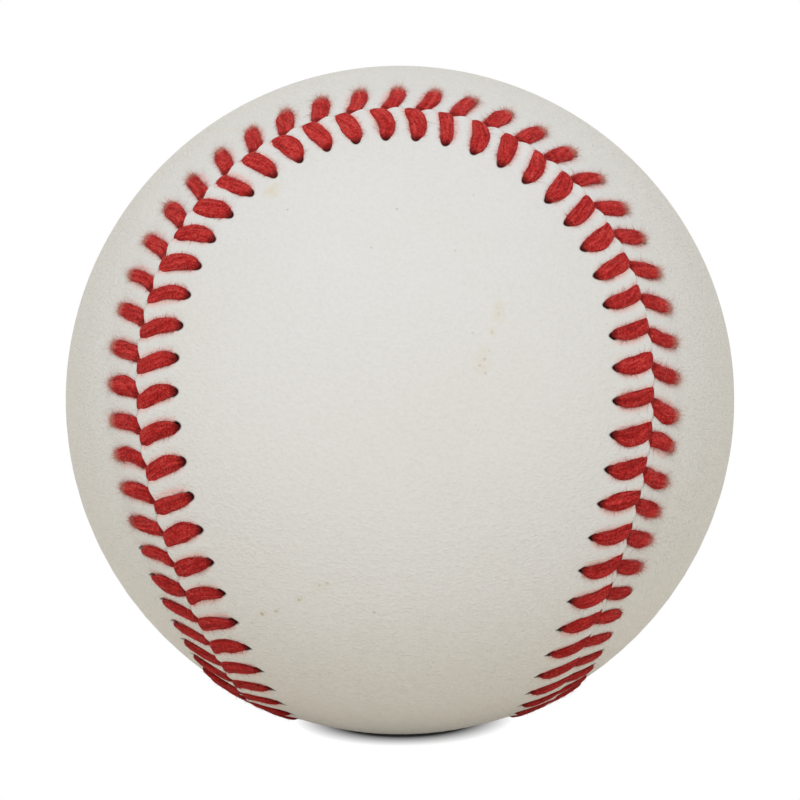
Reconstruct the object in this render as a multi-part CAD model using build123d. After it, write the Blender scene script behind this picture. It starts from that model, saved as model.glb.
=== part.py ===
from build123d import *
import os
from math import cos, pi, sin, tan

import numpy as np

# A stitched baseball, built in the order in which one is made.
# A cork core sits in two moulded rubber halves that meet on a gasket, inside a rubber cover.
# Four windings of yarn go round that, then a film of cement, then two leather panels.
# Two threads sew the panels together, each going over and under the leather at every stitch.
# The origin is the centre of the ball, in millimetres. The Z axis is the axis on which the two
# panels trade places: the lower panel has its narrow middle at -Z and its lobes at -Y and +Y.

# Layers, from the centre outward
CORK_DIAMETER = 20.64
BLACK_RUBBER_THICKNESS = 3.97
GASKET_THICKNESS = 1.6
RED_RUBBER_THICKNESS = 2.38
FIRST_WINDING_THICKNESS = 14.66
SECOND_WINDING_THICKNESS = 1.77
THIRD_WINDING_THICKNESS = 2.27
FINISHING_WINDING_THICKNESS = 0.51
CEMENT_THICKNESS = 0.12
BOND_CLEARANCE = 0.02
LEATHER_THICKNESS = 1.27

# The seam curve, which is x = cos t - lobe cos 3t, y = sin t + lobe sin 3t, z = -rise cos 2t,
# drawn from the centre onto the ball
SEAM_LOBE_SHARE = 0.48
SEAM_RISE_SHARE = 1.128
SEAM_GAP = 0.1

# Stitches
STITCH_PAIRS = 54
THREAD_DIAMETER = 1.2
THREAD_CLEARANCE = 0.05
HOLE_OFFSET = 4.9
LOWER_LEG_LEAN = 0.9
UPPER_LEG_LEAN = 1.0
THREAD_END_GAP = 0.6

# A hand-sewn ball's stitches aren't quite even: they crowd by up to this much towards one end
STITCH_SHIFT = 0.65
STITCH_DRIFT = 1.76
STITCH_DRIFT_DEGREES = 22.4

# How finely the seam is measured and drawn
LENGTH_SAMPLES = 7200
SEAM_ARCS = STITCH_PAIRS
BED_ARCS = 18

# Radii that follow from the layers
cork_radius = CORK_DIAMETER / 2
black_rubber_radius = cork_radius + BLACK_RUBBER_THICKNESS
red_rubber_radius = black_rubber_radius + RED_RUBBER_THICKNESS
first_winding_radius = red_rubber_radius + FIRST_WINDING_THICKNESS
second_winding_radius = first_winding_radius + SECOND_WINDING_THICKNESS
third_winding_radius = second_winding_radius + THIRD_WINDING_THICKNESS
finishing_radius = third_winding_radius + FINISHING_WINDING_THICKNESS
cement_radius = finishing_radius + CEMENT_THICKNESS
leather_inner_radius = cement_radius + BOND_CLEARANCE
ball_radius = leather_inner_radius + LEATHER_THICKNESS

# Lengths along the seam, on the ball's own surface
turns = np.linspace(0.0, 2 * pi, LENGTH_SAMPLES + 1)


def seam_direction(turn):
    """Unit vectors from the centre to the seam, one row for each turn."""
    turn = np.atleast_1d(turn)
    rows = np.stack(
        [
            np.cos(turn) - SEAM_LOBE_SHARE * np.cos(3 * turn),
            np.sin(turn) + SEAM_LOBE_SHARE * np.sin(3 * turn),
            -SEAM_RISE_SHARE * np.cos(2 * turn),
        ],
        axis=1,
    )
    return rows / np.linalg.norm(rows, axis=1, keepdims=True)


steps = np.linalg.norm(np.diff(seam_direction(turns), axis=0), axis=1)
lengths = np.concatenate([[0.0], np.cumsum(steps)]) * ball_radius
seam_length = lengths[-1]
stitch_count = 2 * STITCH_PAIRS
stitch_pitch = seam_length / stitch_count
small_turn = 2 * pi / LENGTH_SAMPLES
hole_radius = THREAD_DIAMETER / 2 + THREAD_CLEARANCE
foot_spacing = 2 * hole_radius
wall_start = foot_spacing / 2


def sewn_length(along):
    """Where a stitch that would be at this length if all were even is really sewn."""
    turn = 2 * pi * along / seam_length - STITCH_DRIFT_DEGREES * pi / 180
    return along - STITCH_SHIFT - STITCH_DRIFT * cos(turn)


def seam_frame(along):
    """Outward, forward and sideways unit vectors at a length along the seam."""
    turn = np.interp(along % seam_length, lengths, turns)
    before, outward, after = seam_direction(
        np.array([turn - small_turn, turn, turn + small_turn])
    )
    forward = after - before
    forward = forward - outward * np.dot(forward, outward)
    forward = forward / np.linalg.norm(forward)
    return outward, forward, np.cross(outward, forward)


def ball_point(along, across, radius):
    """The point at a radius, a length along the seam and a distance across it."""
    outward, forward, sideways = seam_frame(along)
    angle = across / ball_radius
    point = (outward * cos(angle) + sideways * sin(angle)) * radius
    return Vector(*(float(value) for value in point))


# Layers as shells
def layer(inner, outer):
    return Sphere(outer) - Sphere(inner)


def seam_wall(across, arcs):
    """A closed wall on the seam's offset curve, ruled arc by arc from well inside to well outside."""
    faces = []
    half_arc = seam_length / arcs / 2
    for index in range(arcs):
        ends = [sewn_length((2 * index + half) * half_arc) + wall_start for half in range(3)]
        low = [ball_point(at, across, red_rubber_radius) for at in ends]
        high = [ball_point(at, across, 2 * ball_radius) for at in ends]
        faces.append(
            Face.make_surface_from_curves(
                Edge.make_three_point_arc(*low), Edge.make_three_point_arc(*high)
            )
        )
    return Shell(faces)


def side_of(shape, across, arcs):
    """The pieces of a shell below and above the wall at a distance across the seam."""
    parts = split(shape, bisect_by=seam_wall(across, arcs), keep=Keep.ALL).solids()
    ordered = sorted(parts, key=lambda part: part.center().Z)
    return ordered[0], ordered[-1]


def seam_band(half_width, inner, outer):
    """The strip of a shell within a half width of the seam, on both sides."""
    lower_part = side_of(layer(inner, outer), half_width, BED_ARCS)[0]
    wall = seam_wall(-half_width, BED_ARCS)
    parts = split(lower_part, bisect_by=wall, keep=Keep.ALL).solids()
    middle = ball_point(0.0, 0.0, (inner + outer) / 2)
    return min(parts, key=lambda part: part.distance_to(Vertex(*middle)))


# The bed that the threads lie in, under the leather
leg_half_angle = HOLE_OFFSET / ball_radius / 2
top_radius = (ball_radius + hole_radius) / cos(leg_half_angle)
under_radius = leather_inner_radius - hole_radius
under_length = HOLE_OFFSET + stitch_pitch
bed_radius = under_radius * cos(under_length / ball_radius / 2) - hole_radius
bed_half_width = HOLE_OFFSET + THREAD_DIAMETER
bed_wall = FINISHING_WINDING_THICKNESS

# The two routes of the threads
feet = {-1: 0.0, 1: foot_spacing}
leans = {-1: LOWER_LEG_LEAN, 1: UPPER_LEG_LEAN}


def stitch_place(index, side):
    """Lengths along the seam of a stitch's foot and of its hole."""
    foot = sewn_length((index + 1 / 2) * stitch_pitch) + feet[side]
    return foot, foot + leans[side]


def thread_corners(first_side):
    """The corners of one thread, sewn towards smaller lengths, with its ends left under the leather."""
    corners = []
    for index in reversed(range(stitch_count)):
        side = first_side if index % 2 else -first_side
        foot, hole = stitch_place(index, side)
        corners.append(ball_point(hole, side * HOLE_OFFSET, under_radius))
        corners.append(ball_point(hole, side * HOLE_OFFSET, top_radius))
        corners.append(ball_point(foot, 0.0, top_radius))
        corners.append(ball_point(foot, 0.0, under_radius))
        corners.append(ball_point(foot, -side * THREAD_DIAMETER, under_radius))
    meeting = (corners[0] + corners[-1]) / 2
    away = (corners[0] - corners[-1]).normalized() * THREAD_END_GAP
    return [meeting + away] + corners + [meeting - away]


def thread_path(corners, bend):
    """Straight runs joined by arcs that leave each run along its own direction."""
    edges = []
    start = corners[0]
    for before, corner, after in zip(corners, corners[1:], corners[2:]):
        back = (before - corner).normalized()
        ahead = (after - corner).normalized()
        half = back.get_angle(ahead) * pi / 180 / 2
        reach = bend / tan(half)
        inward = (back + ahead).normalized()
        enter, leave = corner + back * reach, corner + ahead * reach
        middle = corner + inward * (bend / sin(half) - bend)
        edges.append(Edge.make_line(start, enter))
        edges.append(Edge.make_three_point_arc(enter, middle, leave))
        start = leave
    edges.append(Edge.make_line(start, corners[-1]))
    return Wire(edges)


def thread(first_side):
    corners = thread_corners(first_side)
    path = thread_path(corners, hole_radius)
    section = Face(Wire(Edge.make_circle(THREAD_DIAMETER / 2, Plane(path @ 0, z_dir=path % 0))))
    tube = Solid.sweep(section, path, transition=Transition.RIGHT)
    share = tube.volume / (path.length * pi * THREAD_DIAMETER**2 / 4)
    print("thread length", round(path.length, 1), "volume share", share)
    return tube


# The leather panels, with their holes and the slots that the threads drop through
def radial_plane(along, across):
    foot = ball_point(along, across, under_radius)
    forward = seam_frame(along)[1]
    return Plane(foot, x_dir=Vector(*(float(value) for value in forward)), z_dir=foot)


def leather_panel(side):
    whole = layer(leather_inner_radius, ball_radius)
    halves = side_of(whole, side * SEAM_GAP / 2, SEAM_ARCS)
    panel = halves[0] if side < 0 else halves[1]
    depth = top_radius - under_radius
    tools = []
    for index in range(stitch_count):
        hole = stitch_place(index, side)[1]
        tools.append(extrude(radial_plane(hole, side * HOLE_OFFSET) * Circle(hole_radius), depth))
        seat = stitch_place(index, -1)[0] + foot_spacing / 2
        slot = SlotCenterToCenter(foot_spacing, 2 * hole_radius)
        tools.append(extrude(radial_plane(seat, 0.0) * slot, depth))
    return panel - tools


# Every piece
core_shell = layer(cork_radius, black_rubber_radius)
upper_mouth = Plane.XY.offset(GASKET_THICKNESS / 2)
lower_mouth = Plane.XY.offset(-GASKET_THICKNESS / 2)
third_shell = layer(second_winding_radius, third_winding_radius)
finishing_shell = layer(third_winding_radius, finishing_radius)
cement_shell = layer(finishing_radius, cement_radius)
trough_half_width = bed_half_width + bed_wall
trough_radius = bed_radius - bed_wall
trough = seam_band(trough_half_width, trough_radius, finishing_radius)
trough = trough - seam_band(bed_half_width, bed_radius, leather_inner_radius)
lower_patch = side_of(finishing_shell, -trough_half_width, BED_ARCS)[0]
upper_patch = side_of(finishing_shell, trough_half_width, BED_ARCS)[1]

pieces = {
    "cork_core": Sphere(cork_radius),
    "black_rubber_lower": split(core_shell, bisect_by=lower_mouth, keep=Keep.BOTTOM),
    "black_rubber_upper": split(core_shell, bisect_by=upper_mouth, keep=Keep.TOP),
    "rubber_gasket": split(
        split(core_shell, bisect_by=upper_mouth, keep=Keep.BOTTOM),
        bisect_by=lower_mouth,
        keep=Keep.TOP,
    ),
    "red_rubber_cover": layer(black_rubber_radius, red_rubber_radius),
    "first_wool_winding": layer(red_rubber_radius, first_winding_radius),
    "second_wool_winding": layer(first_winding_radius, second_winding_radius),
    "third_wool_winding": third_shell
    - seam_band(trough_half_width, trough_radius, third_winding_radius),
    "finishing_winding": trough + lower_patch + upper_patch,
    "cement_film_lower": side_of(cement_shell, -bed_half_width, BED_ARCS)[0],
    "cement_film_upper": side_of(cement_shell, bed_half_width, BED_ARCS)[1],
    "leather_panel_lower": leather_panel(-1),
    "leather_panel_upper": leather_panel(1),
    "stitch_thread_one": thread(1),
    "stitch_thread_two": thread(-1),
}

os.makedirs("parts", exist_ok=True)
for name, piece in pieces.items():
    solids = piece.solids()
    print(name, "solids", len(solids), "volume", round(sum(s.volume for s in solids), 1))
    export_step(Compound(children=solids) if len(solids) > 1 else solids[0], "parts/" + name + ".step")
print("ball diameter", 2 * ball_radius, "seam length", seam_length, "pitch", stitch_pitch)
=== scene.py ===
import bmesh
import bpy
import numpy as np
from mathutils import Matrix, Vector


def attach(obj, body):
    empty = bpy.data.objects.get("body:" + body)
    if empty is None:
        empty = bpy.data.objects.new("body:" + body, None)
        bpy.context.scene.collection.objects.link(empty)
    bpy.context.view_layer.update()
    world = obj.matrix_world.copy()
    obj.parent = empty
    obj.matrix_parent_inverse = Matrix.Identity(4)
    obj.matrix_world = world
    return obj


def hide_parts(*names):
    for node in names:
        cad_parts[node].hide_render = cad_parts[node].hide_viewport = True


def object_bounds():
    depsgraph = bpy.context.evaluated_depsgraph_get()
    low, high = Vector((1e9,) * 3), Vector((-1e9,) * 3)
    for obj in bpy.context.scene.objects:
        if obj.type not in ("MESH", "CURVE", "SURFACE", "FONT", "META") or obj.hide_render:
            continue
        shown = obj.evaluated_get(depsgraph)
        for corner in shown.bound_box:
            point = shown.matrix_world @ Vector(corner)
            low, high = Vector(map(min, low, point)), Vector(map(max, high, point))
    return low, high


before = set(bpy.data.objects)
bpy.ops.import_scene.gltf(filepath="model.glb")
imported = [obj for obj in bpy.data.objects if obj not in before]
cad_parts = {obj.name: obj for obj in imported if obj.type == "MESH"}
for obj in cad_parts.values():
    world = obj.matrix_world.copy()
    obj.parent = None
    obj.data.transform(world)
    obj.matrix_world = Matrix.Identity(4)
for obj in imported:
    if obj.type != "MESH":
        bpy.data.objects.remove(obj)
cadLow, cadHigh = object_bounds()
print("frame loaded,", len(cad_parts), "nodes")

mm = 0.001
ballRadius = max(cadHigh - cadLow) / 2 / mm  # outside of the leather, in millimetres
leatherThickness = 1.27
leatherInside = ballRadius - leatherThickness  # its flesh side
scene = bpy.context.scene

# The seam and the places of the stitches on it
seam = {
    "lobe": 0.48,  # how far the four bends swing out
    "rise": 1.128,  # how far they climb
    "stitches": 108,
    "gap": 0.08,  # between the two leather edges
    "shift": 0.65,  # the stitches are sewn by hand and aren't quite even
    "drift": 1.76,
    "driftTurn": 22.4,  # in degrees
    "samples": 7200,
}


# rows divided by their lengths
def unit(rows):
    return rows / np.linalg.norm(rows, axis=-1, keepdims=True)


# from nothing to one between two values, level at both ends
def smoothStep(low, high, value):
    share = np.clip((value - low) / (high - low), 0.0, 1.0)
    return share * share * (3 - 2 * share)


# a swell at a place, falling away on both sides over the width
def swell(value, rise, place, width):
    return rise * np.exp(-(((value - place) / width) ** 2))


# x = cos t - lobe cos 3t, y = sin t + lobe sin 3t, z = -rise cos 2t, brought to unit length
def seamDirections(turn):
    x = np.cos(turn) - seam["lobe"] * np.cos(3 * turn)
    y = np.sin(turn) + seam["lobe"] * np.sin(3 * turn)
    z = -seam["rise"] * np.cos(2 * turn)
    return unit(np.stack([x, y, z], axis=-1))


seamTurns = np.linspace(0.0, 2 * np.pi, seam["samples"] + 1)
seamSteps = np.linalg.norm(np.diff(seamDirections(seamTurns), axis=0), axis=1)
seamRun = np.concatenate([[0.0], np.cumsum(seamSteps)]) * ballRadius  # length to each sample
seamLength = seamRun[-1]
pitch = seamLength / seam["stitches"]


# signed distance to the nearest whole number of stitches
def fromStitch(along):
    return np.mod(along + pitch / 2, pitch) - pitch / 2


# an even length along the seam moved to where that stitch is sewn: less a shift, less drift times a cosine
def sewnLength(along):
    turn = 2 * np.pi * along / seamLength - np.radians(seam["driftTurn"])
    return along - seam["shift"] - seam["drift"] * np.cos(turn)


# outward, forward and sideways directions of the seam at lengths along it
def seamFrame(along):
    turn = np.interp(np.mod(sewnLength(along), seamLength), seamRun, seamTurns)
    outward = seamDirections(turn)
    step = 2 * np.pi / seam["samples"]
    forward = seamDirections(turn + step) - seamDirections(turn - step)
    forward = unit(forward - outward * np.sum(forward * outward, axis=-1, keepdims=True))
    return outward, forward, np.cross(outward, forward)


# How the hand strays on the lower (-1) and upper (1) panel: stitch number, shift along the seam in
# millimetres and the share of its full length that a leg has
strays = {
    -1: [
        (6, 0.0, 1.0), (50, 0.0, 0.98), (58, 0.95, 0.94), (63, 0.0, 0.99), (66, -0.6, 1.05), (72, -0.5, 1.04),
        (82, -0.2, 0.97), (90, 0.0, 0.98), (96, -0.22, 0.95), (101, -0.5, 0.84), (105, -0.6, 0.80),
    ],
    1: [
        (6, 0.0, 1.0), (50, 0.0, 1.0), (59, 0.15, 1.0), (66, -0.15, 1.03), (72, 0.25, 1.04), (82, 0.05, 1.02),
        (90, -0.12, 0.94), (96, -0.12, 0.85), (101, -1.3, 0.78), (105, -1.5, 0.76),
    ],
}
strayBlend = 1.2  # the two panels' strays go over into each other this near the seam
strayFade = (6.5, 9.6)  # and fade out between these distances from it

# How pointed the outer end of a leg is: stitch number, then nothing for blunt and one for a point
tipPoints = {
    -1: [(6, 0.3), (50, 0.3), (58, 0.9), (62, 0.5), (66, 0.05), (82, 0.0), (90, 0.2), (96, 0.5), (102, 0.9)],
    1: [(6, 0.5), (50, 0.5), (58, 0.9), (63, 0.6), (67, 0.1), (72, 0.0), (92, 0.0), (98, 0.2), (103, 0.8)],
}


# the columns of a table by stitch number, read at lengths along the seam
def byStitch(rows, along):
    number, *columns = np.array(rows).T
    return [np.interp(along / pitch, number, column, period=seam["stitches"]) for column in columns]


# nothing for a blunt end and one for a point, read from the table between stitches
def tipPoint(side, along):
    return byStitch(tipPoints[side], along)[0]


# a place beside the seam moved along it by the shift, and across it by the share
def handSewn(along, across):
    lower, upper = (byStitch(strays[side], along) for side in (-1, 1))
    over = smoothStep(-strayBlend, strayBlend, across)
    shift, share = (low + (high - low) * over for low, high in zip(lower, upper))
    fade = 1 - smoothStep(*strayFade, np.abs(across))
    return along + shift * fade, across * (1 + (share - 1) * fade)


# walk along the seam, then sideways on a great circle, then out from the leather by the height
def onBall(along, across, height):
    along, across = handSewn(along, across)
    outward, _, sideways = seamFrame(along)
    angle = (across / ballRadius)[..., None]
    direction = outward * np.cos(angle) + sideways * np.sin(angle)
    return direction * (ballRadius + height)[..., None]


# a mesh object at the origin from points in millimetres and faces as index rows
def makePiece(name, points, faces, material, sharp=None):
    mesh = bpy.data.meshes.new(name)
    mesh.from_pydata((points * mm).tolist(), [], faces)
    mesh.update()
    work = bmesh.new()
    work.from_mesh(mesh)
    bmesh.ops.recalc_face_normals(work, faces=work.faces)
    work.to_mesh(mesh)
    work.free()
    mesh.shade_smooth()
    if sharp:
        mesh.set_sharp_from_angle(angle=np.radians(sharp))
    mesh.materials.append(material)
    piece = bpy.data.objects.new(name, mesh)
    scene.collection.objects.link(piece)
    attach(piece, "root")
    return piece


def pointLayer(piece, name, values, kind="FLOAT", word="value"):
    layer = piece.data.attributes.new(name, kind, "POINT")
    layer.data.foreach_set(word, np.asarray(values, dtype=np.float32).ravel())


# Node helpers
def newMaterial(name):
    material = bpy.data.materials.new(name)
    material.use_nodes = True
    tree = material.node_tree
    return material, tree, tree.nodes["Principled BSDF"]


# values set on a node's sockets, or outputs of other nodes linked to them
def setInputs(node, values):
    for key, value in values.items():
        socket = node.inputs[key]
        if isinstance(value, bpy.types.NodeSocket):
            node.id_data.links.new(value, socket)
        elif socket.type == "RGBA":
            socket.default_value = (*value, 1.0)
        else:
            socket.default_value = value


def addNode(tree, kind, values=None, **settings):
    node = tree.nodes.new(kind)
    for key, value in settings.items():
        setattr(node, key, value)
    setInputs(node, values or {})
    return node


# value from one range to another; this and the helpers below find the node tree by a socket in it
def rangeNode(source, fromLow, fromHigh, toLow=0.0, toHigh=1.0):
    values = {0: source, 1: fromLow, 2: fromHigh, 3: toLow, 4: toHigh}
    return addNode(source.id_data, "ShaderNodeMapRange", values).outputs[0]


def mathNode(operation, first, second=0.0):
    tree = (second if isinstance(first, float) else first).id_data
    return addNode(tree, "ShaderNodeMath", {0: first, 1: second}, operation=operation).outputs[0]


def product(first, second):
    return mathNode("MULTIPLY", first, second)


def added(first, second):
    return mathNode("ADD", first, second)


# the second colour over the first by a mask
def mixColour(mask, under, over):
    values = {0: mask, 6: under, 7: over}
    return addNode(mask.id_data, "ShaderNodeMix", values, data_type="RGBA").outputs[2]


def noiseNode(vector, scale, detail=2.0, roughness=0.5):
    values = {"Vector": vector, "Scale": scale, "Detail": detail, "Roughness": roughness}
    return addNode(vector.id_data, "ShaderNodeTexNoise", values).outputs["Fac"]


# a noise spread over a whole range, from where most of its values lie
def fullNoise(noise, low=0.0, high=1.0):
    return rangeNode(noise, 0.3, 0.7, low, high)


def cellNode(vector, scale, feature="F1"):
    values = {"Vector": vector, "Scale": scale}
    return addNode(vector.id_data, "ShaderNodeTexVoronoi", values, feature=feature).outputs


# distance to a place given in millimetres
def distanceNode(vector, centre):
    values = {0: vector, 1: [value * mm for value in centre]}
    return addNode(vector.id_data, "ShaderNodeVectorMath", values, operation="DISTANCE").outputs["Value"]


def bumpNode(height, distance, strength=1.0):
    values = {"Height": height, "Distance": distance, "Strength": strength}
    return addNode(height.id_data, "ShaderNodeBump", values).outputs["Normal"]


def pointFac(tree, name):
    return addNode(tree, "ShaderNodeAttribute", attribute_name=name).outputs["Fac"]


def objectVector(tree):
    return addNode(tree, "ShaderNodeTexCoord").outputs["Object"]


# Fibres: streaks that run the length of a yarn, from a coordinate that goes round and along it
def makeFibreGroup():
    group = bpy.data.node_groups.new("fibreStreaks", "ShaderNodeTree")
    for name, way, kind in (
        ("Vector", "INPUT", "Vector"),
        ("Fine", "INPUT", "Float"),
        ("Coarse", "INPUT", "Float"),
        ("Streak", "OUTPUT", "Float"),
    ):
        group.interface.new_socket(name, in_out=way, socket_type="NodeSocket" + kind)
    given = group.nodes.new("NodeGroupInput")
    result = group.nodes.new("NodeGroupOutput")
    vector, fineSize, coarseSize = (given.outputs[name] for name in ("Vector", "Fine", "Coarse"))
    fine = fullNoise(noiseNode(vector, fineSize, 3.0, 0.65))
    coarse = fullNoise(noiseNode(vector, coarseSize))
    coarseShare = 0.45
    values = {0: coarseShare, 2: fine, 3: coarse}
    streak = addNode(group, "ShaderNodeMix", values, data_type="FLOAT")
    setInputs(result, {"Streak": streak.outputs[0]})
    return group


fibreStreaks = makeFibreGroup()


def streakNode(vector, sizes):
    values = {"Vector": vector, **sizes}
    return addNode(vector.id_data, "ShaderNodeGroup", values, node_tree=fibreStreaks).outputs["Streak"]


# Leather: warm off-white hide with a fine grain, a few stains and specks at places in millimetres
leatherLook = {
    "hide": (0.681, 0.678, 0.666),
    "hideWarm": (0.662, 0.649, 0.612),
    "grainShadeTone": (0.46, 0.42, 0.36),
    "rimShade": (0.655, 0.62, 0.5),  # painted shade: darker and yellower away from a place on the front, towards the rim and bottom
    "stain": (0.65, 0.54, 0.30),
    "speck": (0.20, 0.15, 0.08),
    "rawEdge": (0.42, 0.36, 0.28),
    # painted shade down in the stitch holes
    "hole": (0.03, 0.014, 0.011),
    "dye": (0.74, 0.46, 0.42),  # red that has run from the thread
    "cloudSize": 55.0,
    "warmShare": 0.6,
    "rimShadeShare": 0.36,
    "blotchSize": 900.0,
    "dotSize": 170.0,  # of cells, a few with a tiny dark dot
    "dotEdge": (0.034, 0.018),
    "dotPick": (0.9, 0.92),
    "dotShare": 0.3,
    "grainSize": 1740.0,
    "poreSize": 2900.0,
    "poreShare": 0.6,
    "creaseSize": 1900.0,
    "creaseStretch": (0.62, 0.9, 1.1),  # creases run level
    "creaseWidth": 0.2,
    "creaseRise": (0.1, 1.1),  # where the grain is finest, and far from there
    "pitShade": 0.10,
    "creaseShade": 0.08,
    "grainRise": 0.0001,
    "bumpShare": (0.7, 1.0),  # as for the creases
    "roughness": (0.52, 0.68),
    "gloss": {"Specular IOR Level": 0.28},
    "fineMiddle": (0.0, -34.0, 14.0),  # the grain is finest here, in millimetres
    "fineReach": (15.0, 40.0),
    "unshadedMiddle": (0.0, -35.6, 11.0),  # the painted rim shade is least here
    "rimShadeReach": (28.5, 47.0),
}
stainMarks = [  # place, radius, strength
    ((10.9, -32.3, 15.2), 1.0, 0.34), ((10.8, -32.6, 14.3), 1.0, 0.30), ((10.1, -33.5, 12.9), 0.8, 0.28),
    ((9.6, -34.4, 10.8), 1.1, 0.20), ((9.1, -34.8, 9.7), 1.3, 0.24), ((-14.0, -29.8, -17.4), 0.8, 0.26),
    ((-12.4, -30.9, -16.7), 0.8, 0.22), ((-9.9, -32.5, -15.3), 0.8, 0.24), ((-8.2, -33.6, -13.8), 0.9, 0.20),
    ((-7.3, -34.0, -13.4), 0.9, 0.24), ((-12.5, -23.3, 26.4), 1.3, 0.55), ((-12.4, -21.8, 27.7), 0.9, 0.30),
    ((-19.2, -7.2, 31.1), 0.5, 0.55), ((-18.6, -8.2, 31.2), 0.5, 0.65), ((-17.9, -9.4, 31.3), 0.5, 0.65),
    ((-17.2, -10.3, 31.4), 0.5, 0.50),
]
speckMarks = [
    ((10.9, -32.6, 14.6), 0.24, 0.22), ((10.8, -32.4, 15.1), 0.20, 0.12), ((10.2, -33.6, 12.8), 0.26, 0.26),
    ((9.9, -34.3, 11.0), 0.22, 0.20), ((9.4, -34.6, 10.2), 0.26, 0.26), ((8.9, -34.9, 9.6), 0.24, 0.24),
    ((9.5, -35.0, 8.8), 0.22, 0.28), ((-14.0, -29.8, -17.4), 0.30, 0.60), ((-12.5, -30.8, -16.9), 0.28, 0.45),
    ((-12.2, -31, -16.6), 0.22, 0.3), ((-10, -32.5, -15.3), 0.26, 0.42), ((-9.7, -32.6, -15.1), 0.2, 0.26),
    ((-7.8, -33.9, -13.5), 0.22, 0.34), ((-7.0, -34.2, -13.2), 0.24, 0.32), ((-15.1, -28.5, -18.6), 0.3, 0.3),
    ((-2.2, -33.4, -16.5), 0.24, 0.45), ((-10.9, -25.8, 24.6), 0.20, 0.36), ((0.5, -27.8, 24.8), 0.20, 0.36),
    ((-2.1, -30.6, 21.2), 0.18, 0.28), ((6.5, -30.3, 20.8), 0.18, 0.28), ((8.2, -34.0, 12.8), 0.18, 0.28),
    ((8.4, -25.4, 25.9), 0.18, 0.30),
]


# strongest of a list of soft round marks: full well inside the radius, falling to nothing at its edge
def markMask(place, marks):
    inner = 0.2
    mask = 0.0
    for centre, radius, strength in marks:
        apart = distanceNode(place, centre)
        spot = rangeNode(apart, radius * mm, inner * radius * mm, 0.0, strength)
        mask = mathNode("MAXIMUM", mask, spot)
    return mask


# dark lines wherever a stretched noise crosses its middle value: one on the flat, nothing in the line
def creaseLines(place):
    values = {"Vector": place, "Scale": leatherLook["creaseStretch"]}
    stretched = addNode(place.id_data, "ShaderNodeMapping", values).outputs["Vector"]
    wave = noiseNode(stretched, leatherLook["creaseSize"], 2.0, 0.55)
    off = mathNode("ABSOLUTE", mathNode("SUBTRACT", wave, 0.5))
    return rangeNode(off, 0.0, leatherLook["creaseWidth"])


# nothing near a place on the ball, one far from it
def awayFrom(place, middle, reach):
    near, far = (value * mm for value in leatherLook[reach])
    return rangeNode(distanceNode(place, leatherLook[middle]), near, far)


def makeLeather():
    look = leatherLook
    material, tree, shader = newMaterial("whiteLeather")
    place = objectVector(tree)
    cloud = noiseNode(place, look["cloudSize"], 4.0, 0.6)
    warm = rangeNode(cloud, 0.42, 0.8, 0.0, look["warmShare"])
    tone = mixColour(warm, look["hide"], look["hideWarm"])
    # painted shade: the hide turns darker and yellower away from its front, towards its rim and bottom
    rimShadeMask = product(awayFrom(place, "unshadedMiddle", "rimShadeReach"), look["rimShadeShare"])
    tone = mixColour(rimShadeMask, tone, look["rimShade"])
    blotch = noiseNode(place, look["blotchSize"], 2.0, 0.6)
    patchy = rangeNode(blotch, 0.3, 0.65, 0.2, 1.0)
    stain = product(markMask(place, stainMarks), patchy)
    tone = mixColour(stain, tone, look["stain"])
    tone = mixColour(markMask(place, speckMarks), tone, look["speck"])
    cells = cellNode(place, look["dotSize"])
    dots = rangeNode(cells["Distance"], *look["dotEdge"], 0.0, look["dotShare"])
    picked = rangeNode(cells["Color"], *look["dotPick"])
    tone = mixColour(product(dots, picked), tone, look["speck"])
    pores = cellNode(place, look["poreSize"], "SMOOTH_F1")["Distance"]
    grain = noiseNode(place, look["grainSize"], 2.0, 0.6)
    crease = creaseLines(place)
    coarse = awayFrom(place, "fineMiddle", "fineReach")
    fineHeight = added(product(pores, look["poreShare"]), grain)
    creaseHeight = product(crease, rangeNode(coarse, 0.0, 1.0, *look["creaseRise"]))
    # painted shade: the hide is darkened down in its pores and grain pits and along its creases, the creases
    # more so away from fineMiddle
    pitted = rangeNode(fineHeight, 0.9, 0.5, 0.0, look["pitShade"])
    creased = product(mathNode("SUBTRACT", 1.0, crease), coarse)
    paintedGrainShade = added(pitted, product(creased, look["creaseShade"]))
    tone = mixColour(paintedGrainShade, tone, look["grainShadeTone"])
    # the last of these, the hole colour, is painted shade down in the stitch holes
    for name in ("dye", "rawEdge", "hole"):
        tone = mixColour(pointFac(tree, name), tone, look[name])
    strength = rangeNode(coarse, 0.0, 1.0, *look["bumpShare"])
    bump = bumpNode(added(fineHeight, creaseHeight), look["grainRise"], strength)
    rough = fullNoise(grain, *look["roughness"])
    setInputs(shader, {"Base Color": tone, "Roughness": rough, "Normal": bump, **look["gloss"]})
    return material


# Thread: red cotton, darker between its fibres
threadLook = {
    "red": (0.43, 0.017, 0.016),
    "deep": (0.215, 0.006, 0.006),
    "bright": (0.66, 0.07, 0.062),
    "fuzz": (0.66, 0.18, 0.16),
    "pale": (0.74, 0.40, 0.33),
    # painted shade for the legs' ends in the holes and where two legs cross
    "shade": (0.07, 0.008, 0.008),
    "streaks": {"Fine": 7.0, "Coarse": 2.4},
    "napSize": 3800.0,
    "streakShare": 0.6,
    "napShare": 0.4,
    "topLightSpread": 0.1,  # painted light: the thread is lighter towards the top of the ball
    "brightShare": 0.9,
    "paleShare": 0.6,
    "shadeShare": 0.72,
    "fibreRise": 0.00015,
    "gloss": {
        "Roughness": 0.85,
        "Specular IOR Level": 0.06,
        "Sheen Weight": 0.06,
        "Sheen Tint": (1.0, 0.42, 0.38),
    },
    "fuzzSize": 900.0,
    "fuzzPaleShare": 0.9,
    "fuzzGloss": {"Roughness": 0.9, "Specular IOR Level": 0.1},
}


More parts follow.
